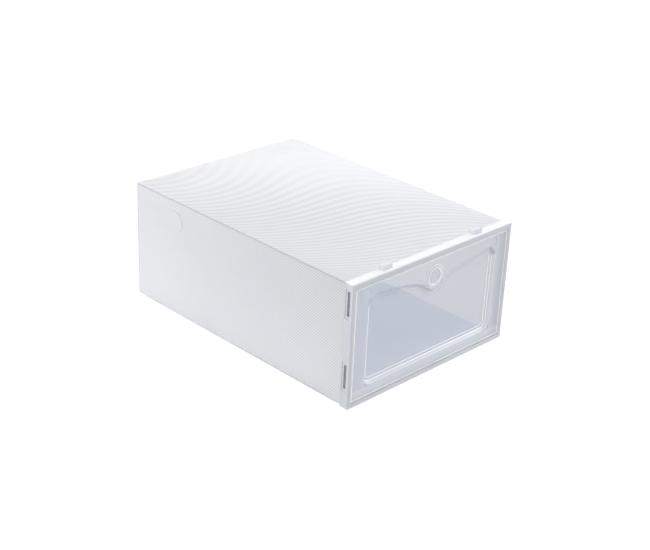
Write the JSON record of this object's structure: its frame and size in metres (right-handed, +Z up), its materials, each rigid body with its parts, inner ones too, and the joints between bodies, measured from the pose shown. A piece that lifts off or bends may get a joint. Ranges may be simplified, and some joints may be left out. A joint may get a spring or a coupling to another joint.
{
  "type": "drop-front stackable shoe box",
  "caption": "Stackable plastic shoe box: folded ribbed sheet sleeve with a tuck-in back, moulded white front frame and clear drop-down door with a finger hole.",
  "frame": {"origin": "middle of the footprint, on the surface the box stands on", "axes": "+X to the right as seen from the front, +Y from the door to the back, +Z up"},
  "size_m": [0.2354, 0.33, 0.14],
  "materials": {
    "frame_plastic": "smooth moulded white",
    "door_plastic": "clear moulded, slightly hazy",
    "ribbed_sheet": "fine-ribbed translucent white sheet"
  },
  "bodies": {
    "sleeve": {"top_panel": "ribbed_sheet", "left_panel": "ribbed_sheet", "right_panel": "ribbed_sheet", "bottom_panel": "ribbed_sheet", "seam_flap": "ribbed_sheet"},
    "frame": {"front_frame": "frame_plastic"},
    "door": {"front_door": "door_plastic"},
    "back": {"back_panel": "ribbed_sheet"},
    "tuck": {"tuck_flap": "ribbed_sheet"},
    "left_dust": {"left_dust_flap": "ribbed_sheet"},
    "right_dust": {"right_dust_flap": "ribbed_sheet"},
    "left_vent": {"left_vent_flap": "ribbed_sheet"},
    "right_vent": {"right_vent_flap": "ribbed_sheet"}
  },
  "joints": [
    {"name": "frame_pull", "type": "slide", "parent": "sleeve", "child": "frame", "axis": [0, -1, 0], "range_m": [0, 0.03]},
    {"name": "door_hinge", "type": "hinge", "parent": "frame", "child": "door", "pos_m": [0, -0.1626, 0.0068], "axis": [1, 0, 0], "range_deg": [0, 90]},
    {"name": "back_hinge", "type": "hinge", "parent": "sleeve", "child": "back", "pos_m": [0, 0.165, 0.0015], "axis": [-1, 0, 0], "range_deg": [0, 90]},
    {"name": "tuck_crease", "type": "hinge", "parent": "back", "child": "tuck", "pos_m": [0, 0.1642, 0.13], "axis": [1, 0, 0], "range_deg": [0, 27]},
    {"name": "left_dust_crease", "type": "hinge", "parent": "sleeve", "child": "left_dust", "pos_m": [-0.1147, 0.163, 0.071], "axis": [0, 0, -1], "range_deg": [0, 60]},
    {"name": "right_dust_crease", "type": "hinge", "parent": "sleeve", "child": "right_dust", "pos_m": [0.1147, 0.163, 0.071], "axis": [0, 0, 1], "range_deg": [0, 60]},
    {"name": "left_vent_crease", "type": "hinge", "parent": "sleeve", "child": "left_vent", "pos_m": [-0.1147, 0.13, 0.1087], "axis": [0, 0, 1], "range_deg": [-4, 30]},
    {"name": "right_vent_crease", "type": "hinge", "parent": "sleeve", "child": "right_vent", "pos_m": [0.1147, 0.13, 0.1087], "axis": [0, 0, -1], "range_deg": [-4, 30]}
  ],
  "couplings": [
    {"joint": "tuck_crease", "follows": "back_hinge", "ratio": 0.3}
  ]
}
